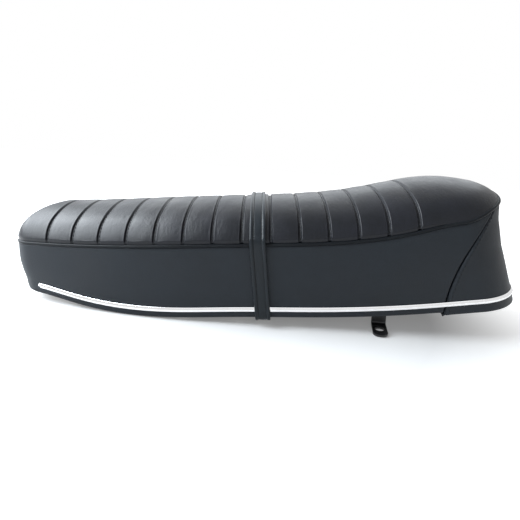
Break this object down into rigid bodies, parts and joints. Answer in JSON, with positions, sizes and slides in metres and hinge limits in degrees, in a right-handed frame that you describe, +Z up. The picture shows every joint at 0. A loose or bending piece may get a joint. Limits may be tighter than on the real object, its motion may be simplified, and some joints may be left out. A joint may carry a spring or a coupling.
{
  "type": "moped seat",
  "caption": "Long moped seat with a cross-pleated top panel, dark side band, piping, bright trim strip, passenger strap, pressed steel pan and bent mounting brackets.",
  "frame": {"origin": "middle of the seat's length and width, level with the underside of the mounting feet", "axes": "+X from the nose to the rear, +Z up, +Y to the right of a rider who faces the nose"},
  "size_m": [0.7161, 0.2372, 0.2055],
  "materials": {
    "pleated_vinyl": "worn satin grain",
    "side_vinyl": "satin grain",
    "piping_vinyl": "satin",
    "strap_vinyl": "satin grain",
    "bright_trim": "polished",
    "zinc_steel": "plated",
    "pan_paint": "satin black",
    "foam": "open cell",
    "buffer_rubber": "matte"
  },
  "bodies": {
    "root": {"top_panel": "pleated_vinyl", "side_band": "side_vinyl", "rear_panel": "side_vinyl", "piping": "piping_vinyl", "grab_strap": "strap_vinyl", "chrome_trim": "bright_trim", "hex_nuts": "zinc_steel", "strap_screws": "zinc_steel", "strap_washers": "zinc_steel", "bracket_left": "pan_paint", "bracket_right": "pan_paint", "pan_rivets": "zinc_steel", "front_hook": "pan_paint", "cover_clips": "zinc_steel", "seat_pan": "pan_paint", "foam_core": "foam", "buffers": "buffer_rubber"}
  },
  "joints": []
}
